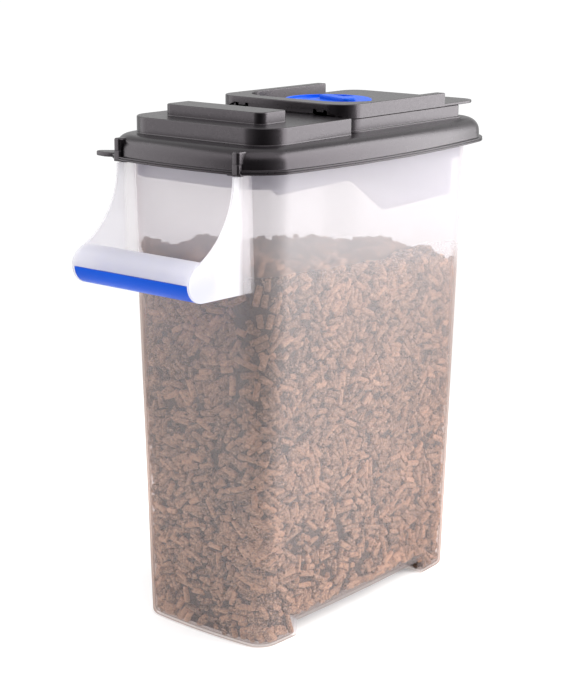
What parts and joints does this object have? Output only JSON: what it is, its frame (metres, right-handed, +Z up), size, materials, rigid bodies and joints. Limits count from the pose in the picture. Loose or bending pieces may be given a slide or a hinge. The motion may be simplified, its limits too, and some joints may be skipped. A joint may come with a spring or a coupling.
{
  "type": "pet food storage bin",
  "caption": "Tall frosted pet food bin with a moulded carry handle, a lift-off lid and a hinged pour door with a quarter-turn catch, shown filled with pellets.",
  "frame": {"origin": "middle of the footprint on the floor, on the bottom of the overall box", "axes": "+Z up; +Y from the handle towards the pour end; +X across the bin, to the right when facing the handle from the pour end"},
  "size_m": [0.2216, 0.4169, 0.4809],
  "materials": {
    "frosted_plastic": "frosted, see-through",
    "blue_plastic": "satin",
    "pellets": "rough pressed fibre",
    "black_plastic": "fine satin grain",
    "clear_seal": "soft silicone",
    "frosted_grey": "frosted",
    "black_seal": "soft foam",
    "steel": "plated"
  },
  "bodies": {
    "tub": {"bin_body": "frosted_plastic", "grip_cover": "blue_plastic", "feed_pellets": "pellets"},
    "lid_assembly": {"lid": "black_plastic", "lid_gasket": "clear_seal", "pour_chute": "frosted_grey", "hinge_pins": "steel"},
    "door": {"pour_door": "black_plastic", "door_gasket": "black_seal"},
    "catch": {"catch_knob": "blue_plastic", "catch_bar": "black_plastic", "catch_screw": "steel"}
  },
  "joints": [
    {"name": "lid_lift", "type": "slide", "parent": "tub", "child": "lid_assembly", "axis": [0, 0, 1], "range_m": [0, 0.08]},
    {"name": "door_hinge", "type": "hinge", "parent": "lid_assembly", "child": "door", "pos_m": [0, -0.00715, 0.4756], "axis": [1, 0, 0], "range_deg": [0, 105]},
    {"name": "catch_turn", "type": "hinge", "parent": "door", "child": "catch", "pos_m": [0, 0.06005, 0.47], "axis": [0, 0, 1], "range_deg": [0, 90]}
  ]
}
